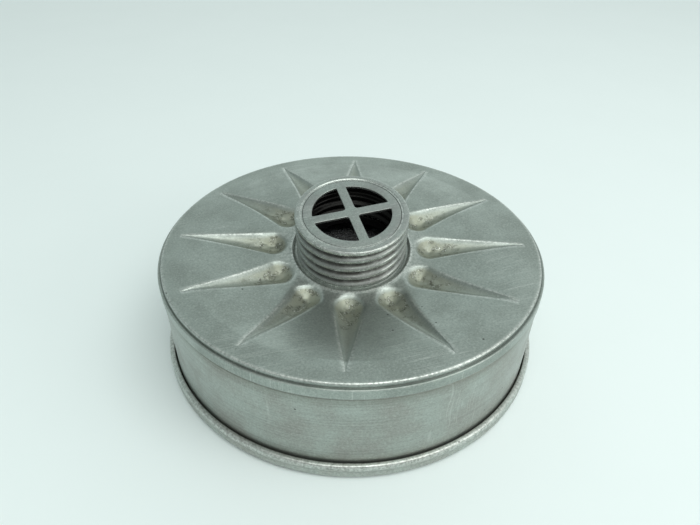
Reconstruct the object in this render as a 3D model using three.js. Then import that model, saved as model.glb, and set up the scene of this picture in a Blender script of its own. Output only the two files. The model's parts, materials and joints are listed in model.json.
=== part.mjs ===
// Drum-shaped breathing-mask filter canister: a flat aluminium drum with a
// star-fluted lid, a rolled round-thread neck and a cross grille in its mouth.
// Millimetres, +Z up along the neck, origin at the centre of the bottom rim.
import * as THREE from 'three';

// ---- Driving dimensions -------------------------------------------------
const SHEET = 0.9;            // aluminium sheet thickness
const GAP = 0.3;              // clearance between pieces that touch
const ROUND_OFF = 0.01;       // slack when a radius is compared
const AROUND = 72;            // facets round the lid, six to each flute
const AROUND_DRUM = 48;       // facets round the wall and base
const AROUND_SMALL = 36;      // facets round the neck and the small rings

// Drum
const WALL_R = 68.1;          // outside of the plain wall
const BAND_R = 68.5;          // outside of the lid's seam band
const BAND_LOW_Z = 35.6;      // lower edge of the seam band
const SHOULDER_Z = 39.4;      // where the band turns into the lid
const FACE_Z = 40.6;          // top of the lid's flat face
const FLANGE_R = 70.6;        // outside of the rolled bottom flange
const FLANGE_H = 5.8;         // height of the rolled bottom flange
const FLOOR_Z = 2.6;          // underside of the base plate inside the rim

// Lid stamping
const FLUTES = 12;            // star flutes, evenly spaced
const FLUTE_START = 11.5;     // degrees from +X to the first flute
const FLUTE_IN_R = 23.4;      // rounded inner end
const FLUTE_TIP_R = 63.0;     // pointed outer end
const FLUTE_HALF_W = 5.6;     // half width near the inner end
const FLUTE_DEPTH = 3.3;      // depth near the inner end
const FLUTE_POINT = 0.4;      // half width left at a flute's tip and nose
const FLUTE_SHARE = 2 / 3;    // share of a sector's meridians that lie in its flute
const CREASE_R = 21.4;        // worn edge where the lid turns down into the collar
const COLLAR_Z = 38.3;        // top of the sunk collar at the neck's foot
const SKIRT_T = 0.6;          // thinned skirt of the seam band

// Neck: round thread of 40 mm major diameter and 4 mm pitch
const THREAD_R = 20.0;
const THREAD_PITCH = 4;
const THREAD_DEPTH = 1.6;
const THREAD_START_Z = 1.8;   // height of a thread crest at the +X side
const NECK_ROOT_R = 18.7;     // plain stretch between the thread and the lid
const NECK_TOP_Z = 57.2;
const LEDGE_Z = 55.8;         // ledge inside the lip that carries the grille
const LIP_IN_R = 17.2;        // inner edge of the neck's rolled lip
const GRILLE_OPEN_R = 13.9;   // opening of the grille
const GRILLE_ARM = 3.4;       // width of each arm of the cross
const HUB_CORNER = 1.1;       // corners where the arms meet
const NECK_FLANGE_R = 21.2;   // flange under the lid
const GASKET_T = 0.6;

// The neck is knocked in and over a little, and takes the lid's middle with it.
// Heights above are those of the sound canister: 0 for both gives it back.
const NECK_SINK = 2;
const NECK_LEAN = 9.8;        // degrees from upright, about the middle of the collar
const LEAN_TOWARD = -107.6;   // degrees from +X
const DENT_FULL_R = 24;       // the lid moves with the neck out to this radius
const DENT_END_R = 56;        // and is flat again from this one

// Inlet in the base
const INLET_R = 16.0;

// Filter pack, from the base up
const PACK_R = 66.2;          // radius of the discs in the pack
const INLET_SPACE = 2.2;      // height of the air space over the inlet
const PAD_T = 1.6;            // one particulate pad
const PADS = 3;
const BED_T = 6.2;            // charcoal bed
const BED_WALL = 2.4;         // felt seal round the charcoal bed
const PLATE_T = 0.8;          // perforated plates
const GAUZE_T = 0.6;
const SPACER_T = 1.0;         // rings between the pads
const HOLE_R = 2.4;           // holes of the perforated plates

// ---- Finishes -------------------------------------------------------------
const finish = (color, roughness, metalness) =>
  new THREE.MeshStandardMaterial({ color, roughness, metalness });
const aluminium = () => finish(0x8f968e, 0.45, 0.9);
const wornAluminium = () => finish(0x9a9c98, 0.38, 0.9);
const darkMesh = () => finish(0x1d1e1f, 0.7, 0.3);
const tinned = () => finish(0x77797a, 0.5, 0.8);
const springSteel = () => finish(0x5c5f63, 0.4, 0.9);
const felt = () => finish(0xb9b09a, 0.95, 0);
const gauze = () => finish(0x8a8579, 0.9, 0);
const charcoal = () => finish(0x141414, 0.95, 0);
const sealant = () => finish(0x2b2a27, 0.85, 0);

// ---- Shape helpers --------------------------------------------------------
// Turns a closed outline of [radius, height] corners about the Z axis. The
// outline runs anticlockwise, with radius to the right and height up.
function turned(outline, segments = AROUND) {
  const points = [...outline, outline[0]].map(([r, z]) => new THREE.Vector2(r, z));
  const geometry = new THREE.LatheGeometry(points, segments);
  return geometry.rotateX(Math.PI / 2);
}

// A flat ring of rectangular section.
const ring = (inner, outer, low, high, segments = AROUND) =>
  turned([[inner, low], [outer, low], [outer, high], [inner, high]], segments);

// Corners on an arc in the section plane, angles in degrees.
function arc(r, z, radius, from, to, steps) {
  return Array.from({ length: steps + 1 }, (_, i) => {
    const a = THREE.MathUtils.degToRad(from + (to - from) * i / steps);
    return [r + radius * Math.cos(a), z + radius * Math.sin(a)];
  });
}

// A flat plate cut from a shape in the XY plane.
function plate(shape, low, thickness, curveSegments) {
  const settings = { depth: thickness, bevelEnabled: false, curveSegments };
  return new THREE.ExtrudeGeometry(shape, settings).translate(0, 0, low);
}

function disc(radius) {
  return new THREE.Shape().absarc(0, 0, radius, 0, 2 * Math.PI, false);
}

// Sinks and leans a piece with the neck, by the share of it that a radius takes.
function knock(geometry, share = () => 1) {
  const toward = THREE.MathUtils.degToRad(LEAN_TOWARD);
  const axis = new THREE.Vector3(-Math.sin(toward), Math.cos(toward), 0);
  const pivot = new THREE.Vector3(0, 0, COLLAR_Z);
  const place = geometry.attributes.position;
  for (let i = 0; i < place.count; i++) {
    const point = new THREE.Vector3().fromBufferAttribute(place, i);
    const taken = share(Math.hypot(point.x, point.y));
    point.sub(pivot).applyAxisAngle(axis, taken * THREE.MathUtils.degToRad(NECK_LEAN)).add(pivot);
    place.setXYZ(i, point.x, point.y, point.z - taken * NECK_SINK);
  }
  return geometry;
}

const part = new THREE.Group();

function add(name, geometry, material) {
  const mesh = new THREE.Mesh(geometry, material);
  mesh.name = name;
  part.add(mesh);
  return mesh;
}

// ---- Lid ------------------------------------------------------------------
// Half width of a flute at a radius: round at the inner end, then straight to
// a point at the tip.
function fluteHalfWidth(r) {
  const nose = Math.sqrt(Math.max(0, 1 - ((FLUTE_IN_R + FLUTE_HALF_W - r) / FLUTE_HALF_W) ** 2));
  const taper = Math.max(0, FLUTE_TIP_R - r) / (FLUTE_TIP_R - FLUTE_IN_R - FLUTE_HALF_W);
  return FLUTE_HALF_W * (r < FLUTE_IN_R + FLUTE_HALF_W ? nose : taper);
}

// Presses the flutes into the turned blank. The meridians of each 30 degree
// sector are first drawn in or out so that two of them follow the flute's edges.
function pressFlutes(geometry) {
  const sector = 2 * Math.PI / FLUTES;
  const start = THREE.MathUtils.degToRad(FLUTE_START);
  const place = geometry.attributes.position;
  for (let i = 0; i < place.count; i++) {
    const x = place.getX(i);
    const y = place.getY(i);
    const r = Math.hypot(x, y);
    if (r < FLUTE_IN_R || r > FLUTE_TIP_R + ROUND_OFF) continue;
    const angle = Math.atan2(y, x) - start;
    const middle = Math.round(angle / sector) * sector;
    const across = 2 * (angle - middle) / sector / FLUTE_SHARE;
    const inside = Math.abs(across) < 1;
    const halfAngle = Math.max(fluteHalfWidth(r), FLUTE_POINT) / r;
    const landShare = (Math.abs(across) - 1) * FLUTE_SHARE / (1 - FLUTE_SHARE);
    const beyond = landShare * (sector / 2 - halfAngle);
    const offset = inside ? across * halfAngle : Math.sign(across) * (halfAngle + beyond);
    const depth = FLUTE_DEPTH * fluteHalfWidth(r) / FLUTE_HALF_W;
    const drop = inside ? depth * (1 - across ** 2) : 0;
    const turn = start + middle + offset;
    place.setXYZ(i, r * Math.cos(turn), r * Math.sin(turn), place.getZ(i) - drop);
  }
  return geometry;
}

function lid() {
  const top = [
    [BAND_R, BAND_LOW_Z],
    [BAND_R, SHOULDER_Z - 0.4],
    [BAND_R - 0.7, SHOULDER_Z],
    [BAND_R - 1.4, SHOULDER_Z - 0.1],
    ...arc(FLUTE_TIP_R + 3.2, FACE_Z - 0.9, 0.9, 30, 90, 1),
    [FLUTE_TIP_R, FACE_Z],
    [DENT_END_R - 6, FACE_Z],
    [DENT_END_R - 14, FACE_Z],
    [DENT_END_R - 21, FACE_Z],
    [FLUTE_IN_R + FLUTE_HALF_W, FACE_Z],
    [FLUTE_IN_R + 2.4, FACE_Z],
    [FLUTE_IN_R - 0.4, FACE_Z - 0.1],
    [CREASE_R, FACE_Z - 0.3],
    [CREASE_R - 1, COLLAR_Z + 0.9],
    [CREASE_R - 1.7, COLLAR_Z + 0.2],
    [NECK_ROOT_R + GAP, COLLAR_Z],
  ];
  const under = top.slice(4).map(([r, z]) => [r, z - SHEET]).reverse();
  const skirt = [[BAND_R - 1.7, SHOULDER_Z - SHEET], [BAND_R - SKIRT_T, BAND_LOW_Z + 2.6],
    [BAND_R - SKIRT_T, BAND_LOW_Z]];
  const blank = turned([...top, ...under, ...skirt]);
  const pressed = pressFlutes(blank.rotateZ(THREE.MathUtils.degToRad(FLUTE_START)));
  return knock(pressed, (r) => 1 - THREE.MathUtils.smoothstep(r, DENT_FULL_R, DENT_END_R));
}

add('lid', lid(), aluminium());

// ---- Neck -----------------------------------------------------------------
const THREAD_TOP_Z = NECK_TOP_Z - 1.2;
const THREAD_LOW_Z = COLLAR_Z + 0.9;
const ROWS_PER_PITCH = 4;
const NECK_GASKET_Z = COLLAR_Z - SHEET - GAP - GASKET_T;

// Rolls the helical round thread into a plain tube of neck radius.
function rollThread(geometry) {
  const place = geometry.attributes.position;
  for (let i = 0; i < place.count; i++) {
    const x = place.getX(i);
    const y = place.getY(i);
    const z = place.getZ(i);
    const r = Math.hypot(x, y);
    if (z <= THREAD_LOW_Z || z >= THREAD_TOP_Z || r < LIP_IN_R + GAP) continue;
    const fade = Math.min(1, (z - THREAD_LOW_Z) / 1.2, (THREAD_TOP_Z - z) / 1.2);
    const phase = 2 * Math.PI * (z - THREAD_START_Z) / THREAD_PITCH - Math.atan2(y, x);
    const groove = fade * THREAD_DEPTH * (1 - Math.cos(phase)) / 2;
    const scale = 1 - groove / r;
    place.setXY(i, x * scale, y * scale);
  }
  return geometry;
}

function threadedNeck() {
  const step = THREAD_PITCH / ROWS_PER_PITCH;
  const rows = Math.floor((THREAD_TOP_Z - THREAD_LOW_Z) / step);
  const heights = Array.from({ length: rows + 1 }, (_, i) => THREAD_LOW_Z + i * step);
  const flangeZ = NECK_GASKET_Z - GAP;
  const outside = [
    [NECK_FLANGE_R, flangeZ - SHEET],
    [NECK_FLANGE_R, flangeZ],
    [NECK_ROOT_R, flangeZ],
    [NECK_ROOT_R, THREAD_LOW_Z - 0.5],
    ...heights.map((z) => [THREAD_R, z]),
    ...arc(THREAD_R - 1.1, NECK_TOP_Z - 1.1, 1.1, 0, 90, 3),
    [LIP_IN_R, NECK_TOP_Z],
    [LIP_IN_R, LEDGE_Z],
    [GRILLE_OPEN_R + 1, LEDGE_Z],
    [GRILLE_OPEN_R + 1, LEDGE_Z - SHEET],
    [LIP_IN_R, LEDGE_Z - SHEET],
  ];
  const inside = heights.slice(0, -1).reverse().map((z) => [THREAD_R - SHEET, z]);
  const foot = [[NECK_ROOT_R - SHEET, THREAD_LOW_Z - 0.5],
    [NECK_ROOT_R - SHEET, flangeZ - SHEET]];
  return knock(rollThread(turned([...outside, ...inside, ...foot], AROUND_SMALL)));
}

add('threaded_neck', threadedNeck(), wornAluminium());
add('neck_gasket', knock(ring(NECK_ROOT_R + GAP, NECK_FLANGE_R - 0.4, NECK_GASKET_Z,
  NECK_GASKET_Z + GASKET_T, AROUND_SMALL)), sealant());

// ---- Grilles --------------------------------------------------------------
// One quarter of the opening between two arms of a cross, turned to its place.
function quarter(openRadius, arm, corner, turn) {
  const half = arm / 2;
  const from = THREE.MathUtils.radToDeg(Math.asin(half / openRadius));
  const outline = [
    [half, half + corner],
    [half + corner, half],
    ...arc(0, 0, openRadius, from, 90 - from, 6),
  ];
  const points = outline.map(([x, y]) => new THREE.Vector2(x, y));
  return new THREE.Path(points.map((point) => point.rotateAround(new THREE.Vector2(), turn)));
}

// A stamped disc with a cross in its opening.
function crossGrille(outerRadius, openRadius, arm, low) {
  const shape = disc(outerRadius);
  for (let i = 0; i < 4; i++) {
    shape.holes.push(quarter(openRadius, arm, HUB_CORNER, i * Math.PI / 2));
  }
  return plate(shape, low, SHEET, AROUND_SMALL / 2);
}

const neckGrille = crossGrille(LIP_IN_R - GAP, GRILLE_OPEN_R, GRILLE_ARM, LEDGE_Z + GAP);
add('neck_grille', knock(neckGrille), wornAluminium());
add('inlet_grille', crossGrille(INLET_R + 5, INLET_R - 1.2, GRILLE_ARM, FLOOR_Z + SHEET + GAP),
  aluminium());

// ---- Body and base --------------------------------------------------------
const SPIGOT_R = BAND_R - SKIRT_T - GAP;
const SPIGOT_TOP_Z = SHOULDER_Z - SHEET - 1.4;
const WALL_FOOT_Z = FLOOR_Z + 1.4;

// Plain wall, stepped in at the top to take the lid's skirt.
function bodyShell() {
  return turned([
    [WALL_R, WALL_FOOT_Z],
    [WALL_R, BAND_LOW_Z - 1.4],
    [SPIGOT_R, BAND_LOW_Z - 0.4],
    [SPIGOT_R, SPIGOT_TOP_Z],
    [SPIGOT_R - SHEET, SPIGOT_TOP_Z],
    [SPIGOT_R - SHEET, BAND_LOW_Z - 0.7],
    [WALL_R - SHEET, BAND_LOW_Z - 1.7],
    [WALL_R - SHEET, WALL_FOOT_Z],
  ], AROUND_DRUM);
}
add('body_shell', bodyShell(), aluminium());

// Base pressing: rolled and slightly waisted rim channel outside, ribbed floor and inlet inside.
function basePlate() {
  const lipIn = FLANGE_R - 2;
  const channelZ = 1.3;
  const bead = 1.3;
  const beads = [[22, 31], [46, 55]].flatMap(([inner, outer]) => [
    [inner, FLOOR_Z],
    [inner + 3, FLOOR_Z - bead],
    [outer - 3, FLOOR_Z - bead],
    [outer, FLOOR_Z],
  ]);
  const rim = [
    [64.2, FLOOR_Z],
    [66.2, 0],
    ...arc(FLANGE_R - 1.9, 1.9, 1.9, -90, 0, 3),
    [FLANGE_R - 0.35, 3],
    ...arc(FLANGE_R - 1, FLANGE_H - 1, 1, 0, 180, 4),
    [lipIn, channelZ],
    [67, channelZ],
    [64.9, FLOOR_Z + SHEET],
  ];
  const over = beads.map(([r, z]) => [r, z + SHEET]).reverse();
  return turned([[INLET_R, FLOOR_Z], ...beads, ...rim, ...over, [INLET_R, FLOOR_Z + SHEET]],
    AROUND_DRUM);
}
add('base_plate', basePlate(), aluminium());

add('base_seam_gasket', ring(67.1, FLANGE_R - 2.3, 1.6, WALL_FOOT_Z - GAP, AROUND_SMALL), sealant());
add('lid_seam_gasket', ring(SPIGOT_R - 1.2, SPIGOT_R, SPIGOT_TOP_Z + GAP,
  SPIGOT_TOP_Z + GAP + GASKET_T, AROUND_SMALL), sealant());

// ---- Filter pack ----------------------------------------------------------
const HOLE_RINGS = [[4, 12], [8, 34], [12, 55]];   // holes in each ring, and its radius
let level = FLOOR_Z + SHEET + GAP + SHEET + INLET_SPACE;

// Takes the next slice of the pack's height and returns its lower side.
function next(thickness) {
  const low = level + GAP;
  level = low + thickness;
  return low;
}

function perforatedPlate(radius, rings, low) {
  const shape = disc(radius);
  for (const [count, at] of rings) {
    for (let i = 0; i < count; i++) {
      const turn = 2 * Math.PI * i / count;
      const hole = new THREE.Path();
      hole.absarc(at * Math.cos(turn), at * Math.sin(turn), HOLE_R, 0, 2 * Math.PI, true);
      shape.holes.push(new THREE.Path(hole.getPoints(3)));
    }
  }
  return plate(shape, low, PLATE_T, AROUND_SMALL / 2);
}

function flatDisc(radius, low, thickness) {
  return plate(disc(radius), low, thickness, AROUND_SMALL / 2);
}

function edgeRing(width, thickness) {
  const low = next(thickness);
  return ring(PACK_R - width, PACK_R, low, low + thickness, AROUND_SMALL);
}

add('inlet_spreader', perforatedPlate(PACK_R - 24, [[12, 34]], next(PLATE_T)), aluminium());
add('pad_support_plate', perforatedPlate(PACK_R, HOLE_RINGS, next(PLATE_T)), tinned());
for (let i = 1; i <= PADS; i++) {
  add(`particulate_pad_${i}`, flatDisc(PACK_R, next(PAD_T), PAD_T), felt());
  if (i < PADS) add(`pad_spacer_ring_${i}`, edgeRing(3, SPACER_T), tinned());
}
add('pad_clamp_ring', edgeRing(5, SPACER_T), tinned());
add('lower_perforated_plate', perforatedPlate(PACK_R, HOLE_RINGS, next(PLATE_T)), tinned());
add('lower_gauze', flatDisc(PACK_R, next(GAUZE_T), GAUZE_T), gauze());
const bedLow = next(BED_T);
add('charcoal_bed', flatDisc(PACK_R - BED_WALL - GAP, bedLow, BED_T), charcoal());
add('bed_edge_seal', ring(PACK_R - BED_WALL, PACK_R + 0.2, bedLow, level, AROUND_SMALL), felt());
add('upper_gauze', flatDisc(PACK_R, next(GAUZE_T), GAUZE_T), gauze());
add('upper_perforated_plate', perforatedPlate(PACK_R, HOLE_RINGS, next(PLATE_T)), darkMesh());

// Wave spring round the edge, between the pack and the lid.
function waveSpring(low, high) {
  const wire = 0.8;
  const geometry = ring(PACK_R - 6, PACK_R - 2, low, low + wire, AROUND_DRUM);
  const place = geometry.attributes.position;
  for (let i = 0; i < place.count; i++) {
    const wave = 1 + Math.cos(6 * Math.atan2(place.getY(i), place.getX(i)));
    place.setZ(i, place.getZ(i) + wave * (high - wire - low) / 2);
  }
  return geometry;
}
add('bed_wave_spring', waveSpring(level + GAP, FACE_Z - SHEET - 1.2), springSteel());

export default part;
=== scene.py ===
"""A drum-shaped breathing filter canister in bare, aged aluminium: fine meshes and
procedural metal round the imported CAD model. Lengths are in millimetres until a mesh
is made, and angles are in degrees where a name says so."""
import json
import math

import bmesh
import bpy
import numpy as np
from mathutils import Matrix, Vector


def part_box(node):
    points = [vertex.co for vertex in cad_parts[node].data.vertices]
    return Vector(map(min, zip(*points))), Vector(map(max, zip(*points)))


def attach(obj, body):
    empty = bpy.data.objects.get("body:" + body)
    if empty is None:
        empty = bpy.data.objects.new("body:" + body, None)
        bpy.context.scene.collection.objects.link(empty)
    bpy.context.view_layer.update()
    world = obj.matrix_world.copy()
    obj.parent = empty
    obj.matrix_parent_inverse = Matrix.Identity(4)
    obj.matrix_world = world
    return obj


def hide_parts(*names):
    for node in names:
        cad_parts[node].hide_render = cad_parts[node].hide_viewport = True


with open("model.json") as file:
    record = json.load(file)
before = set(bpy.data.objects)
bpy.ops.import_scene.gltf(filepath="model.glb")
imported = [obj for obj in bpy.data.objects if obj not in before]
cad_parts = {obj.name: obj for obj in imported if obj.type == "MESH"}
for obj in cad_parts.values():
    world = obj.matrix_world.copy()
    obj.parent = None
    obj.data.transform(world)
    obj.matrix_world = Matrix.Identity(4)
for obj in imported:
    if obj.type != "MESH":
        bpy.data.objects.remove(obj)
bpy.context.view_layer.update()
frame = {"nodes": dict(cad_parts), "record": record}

MM = 0.001
SEED = 41

# ---- Driving dimensions, close to the CAD model's -----------------------------
SHEET = 0.9
WALL_R = 68.1
BAND_R = 68.5
SKIRT_T = 0.6
BAND_LOW_Z = 35.6
SHOULDER_Z = 39.4
FACE_Z = 40.6
FLANGE_R = 70.6
FLANGE_H = 5.7
FLOOR_Z = 2.6
COLLAR_Z = 38.3
FLUTES = 12
FLUTE_START_DEG = 11.5
FLUTE_IN_R = 23.4
FLUTE_TIP_R = 63.0
FLUTE_HALF_W = 5.6
FLUTE_DEPTH = 3.3
NECK_ROOT_R = 18.7
THREAD_R = 20.0
THREAD_PITCH = 4.0
THREAD_DEPTH = 1.6
THREAD_START_Z = 1.8        # sets how far round the crests lie
THREAD_LOW_Z = 39.2
THREAD_TOP_Z = 56.0
NECK_TOP_Z = 57.2
NECK_FLANGE_Z = 36.2
LIP_IN_R = 17.2
LEDGE_Z = 55.8              # ledge in the mouth, which the cross lies on
LEDGE_IN_R = 14.9
GRILLE_OPEN_R = 13.9
GRILLE_ARM = 3.4
HUB_CORNER = 1.1
INLET_R = 16.0
NECK_FLANGE_R = 21.2
NECK_SINK = 2.0             # the neck's knock: how far it is sunk, and how far it leans
NECK_LEAN_DEG = 9.8
LEAN_TOWARD_DEG = -107.6
DENT_FULL_R = 24.0          # the lid goes down whole with the neck up to here
DENT_END_R = 56.0
FALL_END_R = 59.0           # outer end of the straight part of the dent
BEADS = ((22, 31), (46, 55))    # inner and outer radii of the floor's beads
BEAD_DEPTH = 1.3
REST_IN_R = 66.2
SCREEN_R = 66.1
SCREEN_OPEN_R = 24
SCREEN_PITCH = 1.9
SCREEN_HOLE_R = 0.55


# ---- Turned meshes ----------------------------------------------------------
STRAIGHT_DEG = 89           # half angle from which a corner counts as straight
ARC_STEP_DEG = 14


def fillet_points(here, last, following, fillet):
    """Points round one corner of an outline, given the corners before and after it."""
    to_last = last - here
    to_next = following - here
    room = min(np.linalg.norm(to_last), np.linalg.norm(to_next)) / 2.05
    to_last /= np.linalg.norm(to_last)
    to_next /= np.linalg.norm(to_next)
    half = math.acos(np.clip(to_last @ to_next, -1, 1)) / 2
    if half > math.radians(STRAIGHT_DEG) or fillet <= 0:
        return [here]
    reach = min(fillet / math.tan(half), room)
    start = here + to_last * reach
    end = here + to_next * reach
    turns = max(3, int((math.pi - 2 * half) / math.radians(ARC_STEP_DEG)))
    shares = [k / turns for k in range(turns + 1)]
    return [(1 - t) ** 2 * start + 2 * t * (1 - t) * here + t * t * end for t in shares]


def rounded(corners, step):
    """Points along a closed outline of (radius, height, fillet) corners, no further apart than
    step, with each corner rounded by its fillet."""
    places = [np.array(corner[:2], float) for corner in corners]
    points = []
    for i, (_, _, fillet) in enumerate(corners):
        points += fillet_points(places[i], places[i - 1], places[(i + 1) % len(places)], fillet)
    dense = []
    for a, b in zip(points, points[1:] + points[:1]):
        parts = max(1, math.ceil(np.linalg.norm(b - a) / step))
        dense += [a + (b - a) * k / parts for k in range(parts)]
    return np.array(dense)


def knocked(points, share=1.0):
    """Sinks and leans points with the neck, by the share of the knock that each one takes."""
    toward = math.radians(LEAN_TOWARD_DEG)
    axis = np.array((-math.sin(toward), math.cos(toward), 0.0))
    share = (np.zeros(points.shape[:-1]) + share)[..., None]
    turn = math.radians(NECK_LEAN_DEG) * share
    arm = points - np.array((0, 0, COLLAR_Z))
    along = (arm @ axis)[..., None] * axis
    arm = arm * np.cos(turn) + np.cross(axis, arm) * np.sin(turn) + along * (1 - np.cos(turn))
    return arm + np.array((0, 0, COLLAR_Z)) - np.array((0, 0, NECK_SINK)) * share


def turned(name, outline, around, shape, knock_share=None):
    """A closed ring-shaped mesh: outline turned about Z, after shape has moved its points.

    shape takes arrays of radius, height and angle and returns the new ones with masks, from
    0 to 1, that the materials read: dirt and painted shade, wear and painted highlights, and
    near-black painted shade with grime. knock_share gives the share of the neck's knock at a radius."""
    angle = np.linspace(0, 2 * math.pi, around, endpoint=False)
    r, a = np.meshgrid(outline[:, 0], angle, indexing="ij")
    z, _ = np.meshgrid(outline[:, 1], angle, indexing="ij")
    r, z, a, masks = shape(r, z, a)
    points = np.stack([r * np.cos(a), r * np.sin(a), z], axis=-1)
    if knock_share:
        points = knocked(points, knock_share(r))
    rows = len(outline)
    i, j = np.meshgrid(np.arange(rows), np.arange(around), indexing="ij")
    i2 = (i + 1) % rows
    j2 = (j + 1) % around
    quads = np.stack([i * around + j, i * around + j2, i2 * around + j2, i2 * around + j], axis=-1)
    mesh = bpy.data.meshes.new(name)
    mesh.from_pydata(points.reshape(-1, 3) * MM, [], quads.reshape(-1, 4))
    for key, mask in masks.items():
        layer = mesh.attributes.new(key, "FLOAT", "POINT")
        layer.data.foreach_set("value", np.clip(mask, 0, 1).astype(np.float32).ravel())
    return finished(name, mesh)


def finished(name, mesh):
    """Links the mesh as a smooth-shaded object with its faces pointing out."""
    work = bmesh.new()
    work.from_mesh(mesh)
    bmesh.ops.recalc_face_normals(work, faces=work.faces)
    work.to_mesh(mesh)
    work.free()
    mesh.shade_smooth()
    piece = bpy.data.objects.new(name, mesh)
    bpy.context.scene.collection.objects.link(piece)
    return piece


def stands_for(piece, node, material):
    """The piece replaces a CAD node and takes its slot and material."""
    piece.data.materials.clear()
    piece.data.materials.append(material)
    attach(piece, "root")
    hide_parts(node)


def smooth(low, high, value):
    """0 at low and 1 at high, with a soft start and end."""
    t = np.clip((value - low) / (high - low), 0, 1)
    return t * t * (3 - 2 * t)


def ripple(angle, along, waves, seed):
    """A smooth random wave, about -1 to 1, over an angle and a second coordinate."""
    draw = np.random.default_rng(SEED + seed)
    total = np.zeros_like(angle)
    for _ in range(waves):
        turns = draw.integers(1, 9)
        pace = draw.uniform(-0.12, 0.12)
        phase = draw.uniform(0, 2 * math.pi)
        total += np.cos(turns * angle + pace * along + phase)
    return total / math.sqrt(waves * 2)


# ---- Lid --------------------------------------------------------------------
LID_AROUND = 60 * FLUTES
FLUTE_SHARE = 2 / 3         # of each sector's meridians lie in its flute
FLUTE_POINT = 0.12          # half width that a flute keeps at its tip
NOSE_R = FLUTE_IN_R + FLUTE_HALF_W
CREASE_R = 21.4             # edge where the lid turns down into the collar, lightened by wear and a painted highlight


def flute_half_width(r):
    """Half the width of a flute's outline: a round nose, and then a straight taper."""
    nose = np.sqrt(np.clip(1 - ((NOSE_R - r) / FLUTE_HALF_W) ** 2, 0, 1))
    taper = np.clip((FLUTE_TIP_R - r) / (FLUTE_TIP_R - NOSE_R), 0, 1)
    return FLUTE_HALF_W * np.where(r < NOSE_R, nose, taper)


def follow_flutes(r, a):
    """Draws the meridians in so that they follow the flutes' edges, and returns the new angle
    and each point's angle from the middle of its flute."""
    sector = 2 * math.pi / FLUTES
    local = a - math.radians(FLUTE_START_DEG)
    middle = np.round(local / sector) * sector
    across = 2 * (local - middle) / sector / FLUTE_SHARE
    half = np.maximum(flute_half_width(r), FLUTE_POINT) / r
    free = sector * FLUTE_SHARE / 2
    leave = np.maximum(smooth(FLUTE_TIP_R, FLUTE_TIP_R + 2.6, r), smooth(NOSE_R - 2, FLUTE_IN_R, r))
    half = half + (free - half) * leave
    beyond = (np.abs(across) - 1) * FLUTE_SHARE / (1 - FLUTE_SHARE) * (sector / 2 - half)
    offset = np.where(np.abs(across) < 1, across * half, np.sign(across) * (half + beyond))
    return math.radians(FLUTE_START_DEG) + middle + offset, offset


def flute_drop(r, offset):
    """Depth of the pressing: crisp-edged towards the tip, and soft round the nose. Also the
    distance from the flute's middle line, as a share of its half width."""
    along = r * np.cos(offset)
    aside = np.abs(r * np.sin(offset))
    taper = np.clip((FLUTE_TIP_R - along) / (FLUTE_TIP_R - NOSE_R), 0, 1)
    width = np.maximum(FLUTE_HALF_W * taper, FLUTE_POINT)
    off_line = np.where(along < NOSE_R, np.hypot(along - NOSE_R, aside) / FLUTE_HALF_W, aside / width)
    crisp = np.clip(1 - off_line ** 2, 0, 1)
    soft = np.cos(math.pi / 2 * np.clip(off_line / 1.25, 0, 1)) ** 2
    softness = 0.75 * smooth(44, 29, r)
    return FLUTE_DEPTH * taper * (crisp + (soft - crisp) * softness), off_line


def lid_masks(r, z, drop, off_line, on_sheet):
    """Dirt in the flutes, painted shade with grime in the groove under the shoulder, and wear on the
    lid's edges and round its neck, with painted highlights and painted light on the collar's foot."""
    nose = smooth(34, 28, r)
    in_flute = (smooth(1.05, 0.55, off_line) + nose * smooth(1.2, 0.8, off_line)) * (drop > 0)
    dirt_and_shade = in_flute * smooth(0.2, 1.6, drop) * (0.4 + 0.45 * smooth(46, 32, r))
    # groove: painted shade, with grime
    groove = smooth(0.6, 0.1, np.hypot(r - BAND_R + 1.0, z - SHOULDER_Z + 0.3))
    # shoulder, rim, crease and flute edges: wear and painted highlights; foot: painted light on the
    # collar's shaded foot
    shoulder = smooth(0.8, 0.1, np.abs(r - BAND_R + 1.4)) * smooth(39.9, 40.3, z)
    rim = smooth(0.5, 0.0, np.hypot(r - BAND_R, z - (SHOULDER_Z - 0.3)))
    crease = smooth(0.8, 0.3, np.abs(r - CREASE_R - 0.3)) * on_sheet
    edge = smooth(0.16, 0.0, np.abs(off_line - 1)) * smooth(30, 36, r) * (r < FLUTE_TIP_R) * on_sheet
    handled = 0.45 * smooth(32, 24, r) * (drop < 0.3) * on_sheet
    foot = 0.6 * smooth(CREASE_R - 0.5, NECK_ROOT_R + 0.8, r)
    wear_and_highlight = 0.8 * shoulder + 0.2 * rim + crease + 0.8 * edge + np.maximum(handled, foot)
    return {"dirt_and_shade": dirt_and_shade, "wear_and_highlight": wear_and_highlight, "grime_and_black_shade": 0.45 * groove}


def press_lid(r, z, a):
    """Stamps the star flutes and some unevenness into the lid."""
    on_sheet = z > SHOULDER_Z - 2.5
    angle, offset = follow_flutes(r, a)
    angle = np.where(on_sheet, angle, a)
    drop, off_line = flute_drop(r, offset)
    drop = drop * on_sheet
    lumps = 0.16 * ripple(9 * angle, 14 * r, 9, 5) * smooth(1.5, 3.0, drop)
    waves = 0.11 * ripple(angle, r, 7, 1) * smooth(CREASE_R, 32, r) * smooth(66, 60, r)
    z = z - drop + (waves + lumps) * on_sheet
    return r, z, angle, lid_masks(r, z, drop, off_line, on_sheet)


def lid_knock(r):
    """The lid's share of the neck's knock: a straight fall with soft ends."""
    straight = np.clip((r - DENT_FULL_R) / (FALL_END_R - DENT_FULL_R), 0, 1)
    return 1 - (0.8 * straight + 0.2 * smooth(DENT_FULL_R, DENT_END_R, r))


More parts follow.
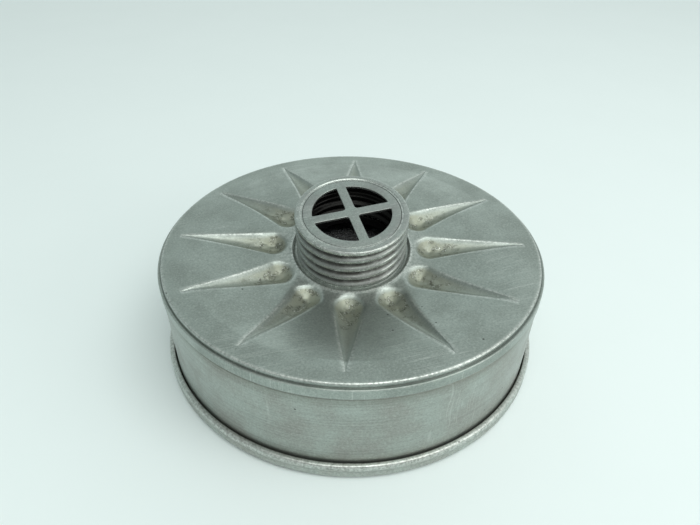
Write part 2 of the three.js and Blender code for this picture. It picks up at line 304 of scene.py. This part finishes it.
def make_lid(material):
    """The lid, with its outline from the band's foot up over the shoulder and in to the neck."""
    top = [
        (BAND_R, BAND_LOW_Z, 0.15),
        (BAND_R, SHOULDER_Z - 0.1, 0.8),
        (BAND_R - 1.0, SHOULDER_Z - 0.3, 0.15),
        (BAND_R - 1.2, FACE_Z, 0.9),
        (CREASE_R + 1.6, FACE_Z - 0.3, 0.6),
        (CREASE_R + 0.2, FACE_Z - 0.1, 0.4),
        (THREAD_R + 0.8, THREAD_LOW_Z + 0.2, 0.6),
        (THREAD_R - 0.1, THREAD_LOW_Z + 0.15, 0.1),
        (NECK_ROOT_R + 0.3, COLLAR_Z + 0.1, 0.05),
    ]
    under = [(r, z - SHEET, fillet) for r, z, fillet in reversed(top[3:])]
    skirt = [(BAND_R - 1.7, SHOULDER_Z - SHEET, 0.2), (BAND_R - SKIRT_T, SHOULDER_Z - 1.2, 0.3),
             (BAND_R - SKIRT_T, BAND_LOW_Z, 0.15)]
    piece = turned("lid_pressing", rounded(top + under + skirt, 0.5), LID_AROUND, press_lid, lid_knock)
    stands_for(piece, "lid", material)


# ---- Neck -------------------------------------------------------------------
def roll_thread(r, z, a):
    """Rolls the helical round thread, with narrow roots and wide crests, and marks its roots with
    painted shade and grime, its crests with wear and painted highlights, its worn lip, and its
    bore with near-black painted shade."""
    on_tube = (z > THREAD_LOW_Z) & (z < THREAD_TOP_Z) & (r > LIP_IN_R + 0.6)
    outside = (r > THREAD_R - 0.3) | ((r > NECK_ROOT_R - 0.2) & (z < THREAD_LOW_Z))
    fade = np.clip(np.minimum((z - THREAD_LOW_Z) / 1.2, (THREAD_TOP_Z - z) / 0.9), 0, 1)
    phase = 2 * math.pi * (z - THREAD_START_Z) / THREAD_PITCH - a
    valley = ((1 - np.cos(phase)) / 2) ** 1.35 * fade * on_tube
    knocks = 0.05 * ripple(a, 5 * z, 9, 2) * outside
    # the bore is painted near black: painted shade deep in the neck
    bore = ~outside & (z < LEDGE_Z - 0.3)
    # thread roots darkened almost to black: painted shade, with grime
    dirt_and_shade = np.where(outside, 0.15 + 0.85 * smooth(0.15, 0.7, valley), 0)
    lip = smooth(THREAD_TOP_Z - 0.5, THREAD_TOP_Z + 0.3, z) * (r > LIP_IN_R - 0.1)
    seam = smooth(0.4, 0.1, np.abs(r - LIP_IN_R - 0.45)) * (z > LEDGE_Z + 0.5)
    # crests lightened: wear and painted highlights
    wear_and_highlight = 0.7 * smooth(0.15, 0.0, valley) * outside + 0.2 * lip + 0.6 * seam
    masks = {"dirt_and_shade": dirt_and_shade * (1 - lip), "wear_and_highlight": wear_and_highlight * ~bore, "grime_and_black_shade": bore * 1.0}
    return r - THREAD_DEPTH * valley + knocks - 0.05 * outside, z, a, masks


def full_knock(_):
    """The neck takes the whole knock at every radius."""
    return 1.0


def make_neck(material):
    """The neck, with its outline from the flange under the lid up the thread and down the bore."""
    flange_low = NECK_FLANGE_Z - SHEET
    corners = [
        (NECK_FLANGE_R, flange_low, 0.2),
        (NECK_FLANGE_R, NECK_FLANGE_Z, 0.2),
        (NECK_ROOT_R, NECK_FLANGE_Z, 0.3),
        (NECK_ROOT_R, THREAD_LOW_Z - 0.5, 0.3),
        (THREAD_R, THREAD_LOW_Z, 0.3),
        (THREAD_R, NECK_TOP_Z, 1.25),
        (LIP_IN_R + 0.9, NECK_TOP_Z, 0.2),
        (LIP_IN_R + 0.6, NECK_TOP_Z - 0.25, 0.15),
        (LIP_IN_R, NECK_TOP_Z - 0.15, 0.15),
        (LIP_IN_R, LEDGE_Z, 0.1),
        (LEDGE_IN_R, LEDGE_Z, 0.1),
        (LEDGE_IN_R, LEDGE_Z - SHEET, 0.1),
        (LIP_IN_R, LEDGE_Z - SHEET, 0.4),
        (THREAD_R - SHEET, LEDGE_Z - SHEET - 0.9, 0.4),
        (THREAD_R - SHEET, THREAD_LOW_Z, 0.3),
        (NECK_ROOT_R - SHEET, THREAD_LOW_Z - 0.5, 0.3),
        (NECK_ROOT_R - SHEET, flange_low, 0.3),
    ]
    piece = turned("neck_pressing", rounded(corners, 0.16), 288, roll_thread, full_knock)
    stands_for(piece, "threaded_neck", material)


# ---- Punched plates ---------------------------------------------------------
def loop_points(points, spline):
    """Fills a spline with points and closes it."""
    spline.points.add(len(points) - 1)
    for place, (x, y) in zip(spline.points, points):
        place.co = (x * MM, y * MM, 0, 1)
    spline.use_cyclic_u = True


def circle(x, y, radius, steps):
    """Points round a circle about (x, y)."""
    turns = np.linspace(0, 2 * math.pi, steps, endpoint=False)
    return [(x + radius * math.cos(t), y + radius * math.sin(t)) for t in turns]


def punched(name, outer_r, holes, low, edge, thick=SHEET):
    """A flat disc with punched holes and softly rounded edges."""
    curve = bpy.data.curves.new(name, "CURVE")
    curve.dimensions = "2D"
    curve.fill_mode = "BOTH"
    curve.extrude = (thick / 2 - edge) * MM
    curve.bevel_depth = edge * MM
    curve.bevel_resolution = 2
    curve.offset = -edge * MM
    for points in [circle(0, 0, outer_r, 160), *holes]:
        loop_points(points, curve.splines.new("POLY"))
    maker = bpy.data.objects.new(name + "_outline", curve)
    bpy.context.scene.collection.objects.link(maker)
    bpy.context.view_layer.update()
    graph = bpy.context.evaluated_depsgraph_get()
    mesh = bpy.data.meshes.new_from_object(maker.evaluated_get(graph), depsgraph=graph)
    bpy.data.objects.remove(maker)
    work = bmesh.new()
    work.from_mesh(mesh)
    bmesh.ops.remove_doubles(work, verts=work.verts, dist=1e-6)
    bmesh.ops.translate(work, verts=work.verts, vec=(0, 0, (low + thick / 2) * MM))
    work.to_mesh(mesh)
    work.free()
    mesh.name = name
    piece = finished(name, mesh)
    piece.data.set_sharp_from_angle(angle=math.radians(50))
    return piece


QUARTER_SOFT = 0.5          # cut off each quarter's two sharp corners, along the arm
QUARTER_CLEAR = 0.012       # and along the arc, in radians


def quarter(open_r, arm, corner, turn_deg):
    """The outline of one quarter of a cross grille's opening, with soft corners."""
    half = arm / 2
    start = math.asin(half / open_r)
    outline = []
    for k in range(7):
        t = math.radians(180 + 90 * k / 6)
        outline.append((half + corner + corner * math.cos(t), half + corner + corner * math.sin(t)))
    sweep = np.linspace(start + QUARTER_CLEAR, math.pi / 2 - start - QUARTER_CLEAR, 28)
    arm_end = open_r * math.cos(start) - QUARTER_SOFT
    outline.append((arm_end, half))
    outline += [(open_r * math.cos(t), open_r * math.sin(t)) for t in sweep]
    outline.append((half, arm_end))
    turn = math.radians(turn_deg)
    return [(x * math.cos(turn) - y * math.sin(turn), x * math.sin(turn) + y * math.cos(turn))
            for x, y in outline]


def cross_holes(open_r):
    """The four quarters that a cross grille leaves open."""
    return [quarter(open_r, GRILLE_ARM, HUB_CORNER, 90 * k) for k in range(4)]


def mesh_holes(reach, pitch, radius):
    """Small round holes on a staggered grid, out to a reach."""
    rise = pitch * math.sqrt(3) / 2
    rows = int(reach / rise)
    holes = []
    for i in range(-rows, rows + 1):
        for j in range(-rows - 1, rows + 2):
            x = (j + 0.5 * (i % 2)) * pitch
            y = i * rise
            if math.hypot(x, y) < reach:
                holes.append(circle(x, y, radius, 10))
    return holes


def make_neck_grille(material):
    """The cross in the neck's mouth, which is knocked over with the neck."""
    low = LEDGE_Z + 0.3
    piece = punched("neck_cross", LIP_IN_R - 0.12, cross_holes(GRILLE_OPEN_R), low, 0.16)
    count = len(piece.data.vertices)
    places = np.empty(count * 3)
    piece.data.vertices.foreach_get("co", places)
    places = knocked(places.reshape(-1, 3) / MM) * MM
    piece.data.vertices.foreach_set("co", places.ravel())
    piece.data.update()
    stands_for(piece, "neck_grille", material)


def make_inlet_grille(material):
    """The cross over the inlet in the base."""
    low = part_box("inlet_grille")[0][2] / MM
    piece = punched("inlet_cross", INLET_R + 5, cross_holes(INLET_R - 1.2), low, 0.16)
    stands_for(piece, "inlet_grille", material)


def make_outlet_screen(material):
    """The dark, finely punched plate at the bottom of the neck."""
    low, high = (corner[2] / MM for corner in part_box("upper_perforated_plate"))
    holes = mesh_holes(SCREEN_OPEN_R, SCREEN_PITCH, SCREEN_HOLE_R)
    piece = punched("outlet_screen", SCREEN_R, holes, low, 0.08, high - low)
    stands_for(piece, "upper_perforated_plate", material)


# ---- Wall and base ----------------------------------------------------------
def dent_wall(r, z, a):
    """Gives the drawn wall its slight unevenness."""
    outside = r > WALL_R - 0.5
    away = smooth(4, 9, z) * smooth(35, 31, z)
    r = r + 0.07 * ripple(a, 4 * z, 9, 3) * away
    # darker under the lid's band and just above the flange: painted shade, with grime
    dirt_and_shade = outside * (0.2 * smooth(6.6, 5.6, z) + 0.5 * smooth(30.5, 35, z))
    return r, z, a, {"dirt_and_shade": dirt_and_shade}


def make_wall(material):
    """The plain drawn wall, with the narrower spigot that the lid's band covers."""
    spigot_r = BAND_R - SKIRT_T - 0.3
    foot = FLOOR_Z + 1.4
    top = SHOULDER_Z - SHEET - 1.4
    corners = [
        (WALL_R, foot, 0.1),
        (WALL_R, BAND_LOW_Z - 1.2, 0.5),
        (spigot_r, BAND_LOW_Z - 0.3, 0.4),
        (spigot_r, top, 0.1),
        (spigot_r - SHEET, top, 0.1),
        (spigot_r - SHEET, BAND_LOW_Z - 0.6, 0.4),
        (WALL_R - SHEET, BAND_LOW_Z - 1.6, 0.5),
        (WALL_R - SHEET, foot, 0.1),
    ]
    piece = turned("drum_wall", rounded(corners, 0.9), 480, dent_wall)
    stands_for(piece, "body_shell", material)


def mark_base(r, z, a):
    """Painted shade with grime in the gap between the flange and the wall, dirt in the floor's beads, wear
    along the flange.
    """
    # the gap between the flange and the wall: painted shade, with grime
    dirt_and_shade = 0.9 * smooth(FLANGE_R - 1.5, FLANGE_R - 2.0, r) * (r > 66) * (z > 1)
    dirt_and_shade = dirt_and_shade + 0.4 * (r < 64) * smooth(FLOOR_Z, FLOOR_Z - 1.2, z)
    wear_and_highlight = 0.5 * smooth(1.5, 0.2, np.abs(z - FLANGE_H + 0.6)) + 0.3 * (r > 67) * (z > 0.2)
    r = r - 0.03 + 0.03 * ripple(a, 2 * z, 9, 4) * (r > 69)
    return r, z, a, {"dirt_and_shade": dirt_and_shade, "wear_and_highlight": wear_and_highlight}


def make_base(material):
    """The base: a beaded floor with the inlet, a rest ring and the rolled flange round the wall."""
    beads = []
    for inner, outer in BEADS:
        beads += [(inner, FLOOR_Z, 1.5), (inner + 3, FLOOR_Z - BEAD_DEPTH, 1.5),
                  (outer - 3, FLOOR_Z - BEAD_DEPTH, 1.5), (outer, FLOOR_Z, 1.5)]
    rim = [
        (REST_IN_R - 2.0, FLOOR_Z, 0.6),
        (REST_IN_R, 0, 0.4),
        (FLANGE_R - 0.7, 0, 0.9),
        (FLANGE_R, 1.5, 1.2),
        (FLANGE_R - 0.35, 2.9, 0.9),
        (FLANGE_R, 4.3, 1.0),
        (FLANGE_R - 0.6, FLANGE_H, 0.8),
        (FLANGE_R - 2.0, FLANGE_H, 0.4),
        (FLANGE_R - 2.0, 1.3, 0.2),
        (67, 1.3, 0.3),
        (64.9, FLOOR_Z + SHEET, 0.5),
    ]
    over = [(r, z + SHEET, fillet) for r, z, fillet in reversed(beads)]
    mouth = [(INLET_R, FLOOR_Z + SHEET, 0.35), (INLET_R, FLOOR_Z, 0.35)]
    piece = turned("base_pressing", rounded(beads + rim + over + mouth, 0.6), 480, mark_base)
    stands_for(piece, "base_plate", material)


# ---- Materials --------------------------------------------------------------
MIX_A = 6                   # places of a mix node's two colours and of its blended colour
MIX_B = 7
MIX_RESULT = 2


class Recipe:
    """Builds one material's nodes. Lengths in its patterns are in millimetres."""

    def __init__(self, name):
        self.material = bpy.data.materials.new(name)
        self.material.use_nodes = True
        self.tree = self.material.node_tree
        self.shader = self.tree.nodes["Principled BSDF"]
        self.place = self.add("ShaderNodeTexCoord").outputs["Object"]

    def add(self, kind, inputs=None, **settings):
        node = self.tree.nodes.new(kind)
        for key, value in settings.items():
            setattr(node, key, value)
        for key, value in (inputs or {}).items():
            self.feed(node.inputs[key], value)
        return node

    def feed(self, socket, value):
        """Links another socket's value, or sets a constant."""
        if isinstance(value, bpy.types.NodeSocket):
            self.tree.links.new(value, socket)
        else:
            socket.default_value = value

    def mask(self, name):
        """A mask that turned() laid on the mesh."""
        return self.add("ShaderNodeAttribute", attribute_name=name).outputs["Fac"]

    def turned_place(self, scale=(1, 1, 1), turn_deg=(0, 0, 0)):
        """The object's own place, turned and scaled for a pattern that runs one way."""
        turn = tuple(math.radians(t) for t in turn_deg)
        node = self.add("ShaderNodeMapping", {"Vector": self.place, "Scale": scale, "Rotation": turn})
        return node.outputs["Vector"]

    def noise(self, size, detail=3, rough=0.55, place=None, distort=0.0):
        """Noise whose features are about size millimetres across."""
        node = self.add("ShaderNodeTexNoise", {
            "Vector": place or self.place, "Scale": 1 / (size * MM), "Detail": detail,
            "Roughness": rough, "Distortion": distort})
        return node.outputs["Fac"]

    def spots(self, size, spacing):
        """1 in small round spots of a size, about a spacing apart."""
        node = self.add("ShaderNodeTexVoronoi", {"Vector": self.place, "Scale": 1 / (spacing * MM)})
        reach = size / spacing / 2
        return self.span(node.outputs["Distance"], reach, reach * 0.4)

    def span(self, value, low, high, to_low=0.0, to_high=1.0):
        """Maps low to to_low and high to to_high, with a soft start and end."""
        node = self.add("ShaderNodeMapRange", {
            "Value": value, "From Min": low, "From Max": high, "To Min": to_low, "To Max": to_high},
            interpolation_type="SMOOTHSTEP")
        return node.outputs["Result"]

    def math(self, operation, a, b):
        node = self.add("ShaderNodeMath", operation=operation)
        self.feed(node.inputs[0], a)
        self.feed(node.inputs[1], b)
        return node.outputs["Value"]

    def mix(self, share, a, b):
        """Blends from colour a to colour b. Each is a socket or three numbers."""
        node = self.add("ShaderNodeMix", data_type="RGBA")
        self.feed(node.inputs["Factor"], share)
        for place, color in ((MIX_A, a), (MIX_B, b)):
            self.feed(node.inputs[place], color if isinstance(color, bpy.types.NodeSocket) else (*color, 1))
        return node.outputs[MIX_RESULT]

    def bump(self, height, depth, strength=1.0):
        inputs = {"Height": height, "Distance": depth * MM, "Strength": strength}
        return self.add("ShaderNodeBump", inputs).outputs["Normal"]

    def hairlines(self, turn_deg, length, width, share):
        """Fine straight scratches lying one way: 1 on a scratch and 0 off it."""
        place = self.turned_place((1 / length, 1 / width, 1 / length), (0, 0, turn_deg))
        lines = self.add("ShaderNodeTexNoise", {
            "Vector": place, "Scale": 1000.0, "Detail": 2.0, "Roughness": 0.5}).outputs["Fac"]
        patches = self.noise(26, detail=1)
        lit = self.span(lines, 1 - share, 1 - share + 0.05)
        return self.math("MULTIPLY", lit, self.span(patches, 0.5, 0.62))

    def finish(self, color, roughness, metallic, normal=None):
        self.feed(self.shader.inputs["Base Color"], color)
        self.feed(self.shader.inputs["Roughness"], roughness)
        self.feed(self.shader.inputs["Metallic"], metallic)
        if normal:
            self.feed(self.shader.inputs["Normal"], normal)
        return self.material


DULL = (0.36, 0.405, 0.37)
PALE = (0.455, 0.51, 0.47)
BRIGHT = (0.74, 0.77, 0.73)
TAN = (0.30, 0.315, 0.245)
# near black for the neck's thread roots: painted shade, with grime
ROOT_SHADE_AND_GRIME = (0.035, 0.034, 0.028)
BLACK = (0.012, 0.012, 0.011)
WALL_GREY = (0.39, 0.402, 0.368)
NECK_GREY = (0.385, 0.405, 0.385)
SCRATCH_SETS = (            # turn in degrees, length, width and share of each set of hairlines
    (17, 26, 0.16, 0.36),
    (74, 18, 0.13, 0.35),
    (-41, 34, 0.18, 0.35),
)


def shade(color, factor):
    return tuple(factor * c for c in color)


def oxide(it, dull, lighten, gloss):
    """Cloudy grey oxide with a fine grain: its colour, roughness and height."""
    cloud = it.noise(14, detail=5, rough=0.62)
    grain = it.noise(0.7, detail=4, rough=0.75)
    color = it.mix(it.span(cloud, 0.32, 0.68), dull, shade(PALE, lighten))
    color = it.mix(it.span(grain, 0.44, 0.68, 0, 0.4), color, shade(dull, 0.6))
    color = it.mix(it.span(grain, 0.46, 0.3, 0, 0.25), color, BRIGHT)
    rough = it.span(cloud, 0.3, 0.7, 0.43 - gloss, 0.34 - gloss)
    return color, rough, it.math("MULTIPLY", grain, -0.6)


def drawing_lines(it, color, height, dark):
    """Adds the streaks that drawing leaves round the wall."""
    drawn = it.noise(1.0, detail=3, place=it.turned_place((0.03, 0.03, 1.6)))
    color = it.mix(it.span(drawn, 0.45, 0.7, 0, 0.3), color, dark)
    return color, it.math("ADD", height, it.math("MULTIPLY", drawn, 0.7))


def scratches(it):
    """1 on a hairline scratch of any set, and 0 off them all."""
    scratch = 0.0
    for turn_deg, length, width, share in SCRATCH_SETS:
        scratch = it.math("MAXIMUM", scratch, it.hairlines(turn_deg, length, width, share))
    return scratch


def brown_crust(it, color, caked, dirt_and_shade_color):
    """Roughens caked dirt with brown spots and with glints of metal."""
    brown = it.math("MULTIPLY", caked, it.span(it.noise(0.8, detail=3), 0.38, 0.58))
    color = it.mix(it.math("MULTIPLY", brown, 0.75), color, shade(dirt_and_shade_color, 0.35))
    glint = it.math("MULTIPLY", caked, it.span(it.noise(0.5, detail=2), 0.6, 0.68))
    return it.mix(it.math("MULTIPLY", glint, 0.8), color, BRIGHT)


def black_specks(it, caked):
    """1 in the pits of caked dirt and in a few stray specks."""
    pits = it.math("MULTIPLY", caked, it.spots(0.5, 1.3))
    stray = it.math("MULTIPLY", it.spots(0.9, 8), it.span(it.noise(23, detail=1), 0.45, 0.53))
    return it.math("MAXIMUM", pits, stray)


def aged_aluminium(name, lighten, dirt_and_shade_color, dull=DULL, gloss=0.0, streaks=False, crust=False):
    """Bare aluminium gone grey: oxide, hairlines, wear and painted highlights, dirt and painted shade,
    near-black painted shade and dark specks. Streaks follow the drawn wall, and crust roughens the dirt."""
    it = Recipe(name)
    dull = shade(dull, lighten)
    color, rough, height = oxide(it, dull, lighten, gloss)
    if streaks:
        color, height = drawing_lines(it, color, height, shade(dull, 0.55))
    scratch = scratches(it)
    color = it.mix(it.math("MULTIPLY", scratch, 0.2 if streaks else 0.45), color, BRIGHT)
    height = it.math("SUBTRACT", height, it.math("MULTIPLY", scratch, 0.6))
    chafed = it.span(it.noise(0.9, detail=5, rough=0.7), 0.35, 0.62)
    # lightens where the mask lays wear and painted highlights
    wear_and_highlight = it.math("MULTIPLY", it.mask("wear_and_highlight"), chafed)
    color = it.mix(it.math("MULTIPLY", wear_and_highlight, 0.8), color, BRIGHT)
    height = it.math("SUBTRACT", height, it.math("MULTIPLY", wear_and_highlight, 0.8))
    rough = it.math("SUBTRACT", rough, it.math("MULTIPLY", wear_and_highlight, 0.1))
    film = it.span(it.noise(3.5, detail=5, rough=0.65), 0.25, 0.65, 0.55, 0.95)
    # darkens where the mask lays dirt and painted shade
    dirt_and_shade = it.math("MULTIPLY", it.mask("dirt_and_shade"), film)
    color = it.mix(dirt_and_shade, color, dirt_and_shade_color)
    rough = it.math("ADD", rough, it.math("MULTIPLY", dirt_and_shade, 0.08))
    patches = it.span(it.noise(3, detail=2), 0.46, 0.6)
    caked = it.math("MULTIPLY", it.span(it.mask("dirt_and_shade"), 0.3, 0.8), patches)
    if crust:
        color = brown_crust(it, color, caked, dirt_and_shade_color)
    specks = black_specks(it, caked)
    color = it.mix(it.math("MULTIPLY", specks, 0.8), color, BLACK)
    # near black: painted shade in the neck's bore, and painted shade with grime in the lid's groove
    color = it.mix(it.mask("grime_and_black_shade"), color, BLACK)
    height = it.math("SUBTRACT", height, it.math("MULTIPLY", specks, 1.5))
    metal = it.math("SUBTRACT", 0.83, it.math("MULTIPLY", it.math("MAXIMUM", dirt_and_shade, specks), 0.2))
    return it.finish(color, rough, metal, it.bump(height, 0.03, 0.8))


def blackened_sheet(name):
    """Dull blackened sheet metal, with carbon dust on it."""
    it = Recipe(name)
    dust = it.noise(0.7, detail=4, rough=0.7)
    color = it.mix(it.span(dust, 0.35, 0.7), (0.2, 0.2, 0.21), (0.5, 0.51, 0.52))
    rough = it.span(dust, 0.3, 0.7, 0.35, 0.7)
    return it.finish(color, rough, 0.7, it.bump(dust, 0.08, 1.0))


def tinned_sheet(name):
    """Tinned sheet with a faint crystal bloom."""
    it = Recipe(name)
    cells = it.add("ShaderNodeTexVoronoi", {"Vector": it.place, "Scale": 1 / (5 * MM)}).outputs["Color"]
    bloom = it.add("ShaderNodeSeparateColor", {"Color": cells}).outputs["Red"]
    color = it.mix(bloom, (0.40, 0.41, 0.40), (0.54, 0.55, 0.54))
    grain = it.noise(0.5)
    return it.finish(color, it.span(bloom, 0, 1, 0.38, 0.55), 0.9, it.bump(grain, 0.02, 0.6))


def spring_steel(name):
    """Bare spring steel with rolling lines and a little rust."""
    it = Recipe(name)
    lines = it.noise(1.0, place=it.turned_place((1, 8, 1)))
    rust = it.span(it.noise(3, detail=5), 0.56, 0.7)
    color = it.mix(it.span(lines, 0.3, 0.7), (0.27, 0.28, 0.30), (0.38, 0.39, 0.41))
    color = it.mix(rust, color, (0.20, 0.09, 0.04))
    return it.finish(color, it.span(rust, 0, 1, 0.35, 0.8), it.span(rust, 0, 1, 0.95, 0.3),
                     it.bump(lines, 0.02, 0.5))


def pressed_felt(name):
    """Pressed filter felt: matted fibres and soft clouds."""
    it = Recipe(name)
    fibre = it.noise(0.4, detail=5, rough=0.75, distort=1.5)
    cloud = it.noise(9, detail=3)
    color = it.mix(it.span(cloud, 0.3, 0.7), (0.55, 0.51, 0.41), (0.66, 0.62, 0.52))
    color = it.mix(it.math("MULTIPLY", it.span(fibre, 0.4, 0.7), 0.35), color, (0.38, 0.35, 0.28))
    return it.finish(color, 0.95, 0.0, it.bump(fibre, 0.25, 1.0))


def woven_gauze(name):
    """Cotton gauze: two crossing sets of threads."""
    it = Recipe(name)
    threads = None
    for direction in ("X", "Y"):
        wave = it.add("ShaderNodeTexWave", {"Vector": it.place, "Scale": 300.0, "Distortion": 0.6,
                                            "Detail": 1.0}, bands_direction=direction).outputs["Fac"]
        threads = wave if threads is None else it.math("MAXIMUM", threads, wave)
    color = it.mix(it.span(threads, 0.3, 0.9), (0.25, 0.23, 0.19), (0.56, 0.53, 0.46))
    return it.finish(color, 0.9, 0.0, it.bump(threads, 0.15, 1.0))


def charcoal_grains(name):
    """Activated charcoal in small rounded grains."""
    it = Recipe(name)
    cells = it.add("ShaderNodeTexVoronoi", {"Vector": it.place, "Scale": 1 / (1.4 * MM)})
    tone = it.add("ShaderNodeSeparateColor", {"Color": cells.outputs["Color"]}).outputs["Red"]
    color = it.mix(tone, (0.008, 0.008, 0.009), (0.035, 0.035, 0.037))
    height = it.span(cells.outputs["Distance"], 0.7, 0.0)
    return it.finish(color, it.span(tone, 0, 1, 0.55, 0.95), 0.0, it.bump(height, 0.7, 1.0))


def seam_compound(name):
    """Dark seam sealing compound, slightly wrinkled."""
    it = Recipe(name)
    skin = it.noise(1.2, detail=4, distort=0.8)
    color = it.mix(it.span(skin, 0.35, 0.65), (0.045, 0.043, 0.036), (0.085, 0.08, 0.066))
    return it.finish(color, it.span(skin, 0.3, 0.7, 0.6, 0.85), 0.0, it.bump(skin, 0.12, 0.8))


def dress_nodes(by_slot):
    """Gives every CAD node that still shows its slot's material."""
    slots = {part["node"]: part["material_slot"] for part in frame["record"]["subparts"]}
    for name, node in frame["nodes"].items():
        if slots[name] in by_slot:
            node.data.materials.clear()
            node.data.materials.append(by_slot[slots[name]])


# ---- Camera, light and floor ------------------------------------------------
CAMERA_OUT = 166.6          # from the axis
CAMERA_UP = 158.4           # above the floor
CAMERA_AZIMUTH_DEG = -17.6  # from -Y towards -X
CAMERA_PITCH_DEG = 37.55
CAMERA_YAW_DEG = -0.14
CAMERA_ROLL_DEG = 0.96
CAMERA_LENS = 28.7
SENSOR = 36.0
SKY_DIM = 0.38              # least and greatest strength of the sky
SKY_STRONG = 0.85
SKY_STRONG_SIDE = (0.92, 0.38, 0)
SKY_COOL = (0.85, 1.0, 0.985, 1)
SKY_NEUTRAL = (0.99, 1.0, 0.985, 1)
SKY_NEUTRAL_SIDE = (0.55, -0.83, 0)


def make_camera():
    """The camera, fitted to the canister as it is seen from in front, above and a little left."""
    pitch, yaw, roll = (math.radians(d) for d in (CAMERA_PITCH_DEG, CAMERA_YAW_DEG, CAMERA_ROLL_DEG))
    forward = Vector((math.sin(yaw) * math.cos(pitch), math.cos(yaw) * math.cos(pitch), -math.sin(pitch)))
    level = Vector((math.cos(yaw), -math.sin(yaw), 0))
    upright = level.cross(forward)
    right = level * math.cos(roll) + upright * math.sin(roll)
    up = upright * math.cos(roll) - level * math.sin(roll)
    stand = Matrix((right, up, -forward)).transposed().to_4x4()
    stand.translation = Vector((0, -CAMERA_OUT, CAMERA_UP)) * MM
    camera = bpy.data.cameras.new("camera")
    camera.lens = CAMERA_LENS
    camera.sensor_width = SENSOR
    camera.clip_start = 0.01
    holder = bpy.data.objects.new("camera", camera)
    holder.matrix_world = Matrix.Rotation(math.radians(CAMERA_AZIMUTH_DEG), 4, "Z") @ stand
    bpy.context.scene.collection.objects.link(holder)
    bpy.context.scene.camera = holder


def seen_from_camera(across, away, up):
    """A place given from the camera's side: across to the right, away from it, and up, in metres."""
    turn = Matrix.Rotation(math.radians(CAMERA_AZIMUTH_DEG), 3, "Z")
    return turn @ Vector((across, away, up))


def soft_light(name, place, size, power, color):
    """A rectangular softbox at a place given from the camera's side, aimed at the canister."""
    light = bpy.data.lights.new(name, "AREA")
    light.shape = "RECTANGLE"
    light.size, light.size_y = size
    light.energy = power
    light.color = color
    holder = bpy.data.objects.new(name, light)
    holder.location = seen_from_camera(*place)
    toward = Vector((0, 0, SHOULDER_Z * MM)) - holder.location
    holder.rotation_euler = toward.to_track_quat("-Z", "Y").to_euler()
    bpy.context.scene.collection.objects.link(holder)


def make_floor():
    """A seamless pale floor, just under the canister."""
    half = 4.0
    mesh = bpy.data.meshes.new("floor")
    mesh.from_pydata([(-half, -half, 0), (half, -half, 0), (half, half, 0), (-half, half, 0)],
                     [], [(0, 1, 2, 3)])
    floor = bpy.data.objects.new("floor", mesh)
    floor.location.z = -0.2 * MM
    bpy.context.scene.collection.objects.link(floor)
    paint = Recipe("floor_paint")
    cloud = paint.noise(60, detail=2)
    color = paint.mix(cloud, (0.795, 0.87, 0.86), (0.815, 0.89, 0.88))
    mesh.materials.append(paint.finish(color, 0.8, 0.0))


def across_sky(nodes, links, toward):
    """A value from 0 to 1 over the sky, which grows towards a direction given from the camera's
    side."""
    side = nodes.new("ShaderNodeVectorMath")
    side.operation = "DOT_PRODUCT"
    side.inputs[1].default_value = seen_from_camera(*toward)
    links.new(nodes.new("ShaderNodeTexCoord").outputs["Generated"], side.inputs[0])
    part = nodes.new("ShaderNodeMapRange")
    part.inputs["From Min"].default_value = -1
    links.new(side.outputs["Value"], part.inputs["Value"])
    return part.outputs["Result"]


def make_sky():
    """Soft daylight all round, stronger on the right and a little cooler on the left."""
    world = bpy.data.worlds.new("studio")
    bpy.context.scene.world = world
    world.use_nodes = True
    nodes = world.node_tree.nodes
    links = world.node_tree.links
    sky = nodes["Background"]
    level = nodes.new("ShaderNodeMapRange")
    level.inputs["To Min"].default_value = SKY_DIM
    level.inputs["To Max"].default_value = SKY_STRONG
    links.new(across_sky(nodes, links, SKY_STRONG_SIDE), level.inputs["Value"])
    links.new(level.outputs["Result"], sky.inputs["Strength"])
    tint = nodes.new("ShaderNodeValToRGB")
    tint.color_ramp.elements[0].color = SKY_COOL
    tint.color_ramp.elements[1].color = SKY_NEUTRAL
    links.new(across_sky(nodes, links, SKY_NEUTRAL_SIDE), tint.inputs["Fac"])
    links.new(tint.outputs["Color"], sky.inputs["Color"])


def make_studio():
    """The floor, the sky and softboxes overhead, on the right and low behind."""
    make_floor()
    make_sky()
    soft_light("overhead", (0.2, -0.3, 0.8), (0.9, 0.6), 4.0, (0.97, 1.0, 0.98))
    soft_light("right_side", (0.95, -0.4, 0.4), (0.5, 0.5), 1.7, (1.0, 1.0, 0.98))
    soft_light("behind", (0.0, 1.2, 0.4), (1.8, 0.5), 0.9, (0.97, 1.0, 0.98))
    bpy.context.scene.view_settings.view_transform = "Standard"


# ---- Build ------------------------------------------------------------------
make_camera()
make_studio()

drum_metal = aged_aluminium("lid_metal", 0.81, TAN, crust=True)
wall_metal = aged_aluminium("wall_metal", 0.88, shade(TAN, 0.5), dull=WALL_GREY, streaks=True)
# the neck's dirt colour is near black: painted shade in the thread roots, with grime
neck_metal = aged_aluminium("neck_metal", 0.84, ROOT_SHADE_AND_GRIME, dull=NECK_GREY, gloss=0.1)
dark_metal = blackened_sheet("outlet_screen_metal")
make_lid(drum_metal)
make_neck(neck_metal)
make_neck_grille(neck_metal)
make_inlet_grille(drum_metal)
make_outlet_screen(dark_metal)
make_wall(wall_metal)
make_base(wall_metal)
dress_nodes({
    "drum_aluminium": drum_metal,
    "tinned_plate": tinned_sheet("tinned_sheet"),
    "spring_steel": spring_steel("spring_steel"),
    "filter_felt": pressed_felt("filter_felt"),
    "cotton_gauze": woven_gauze("cotton_gauze"),
    "charcoal": charcoal_grains("charcoal_grains"),
    "sealing_compound": seam_compound("seam_compound"),
})
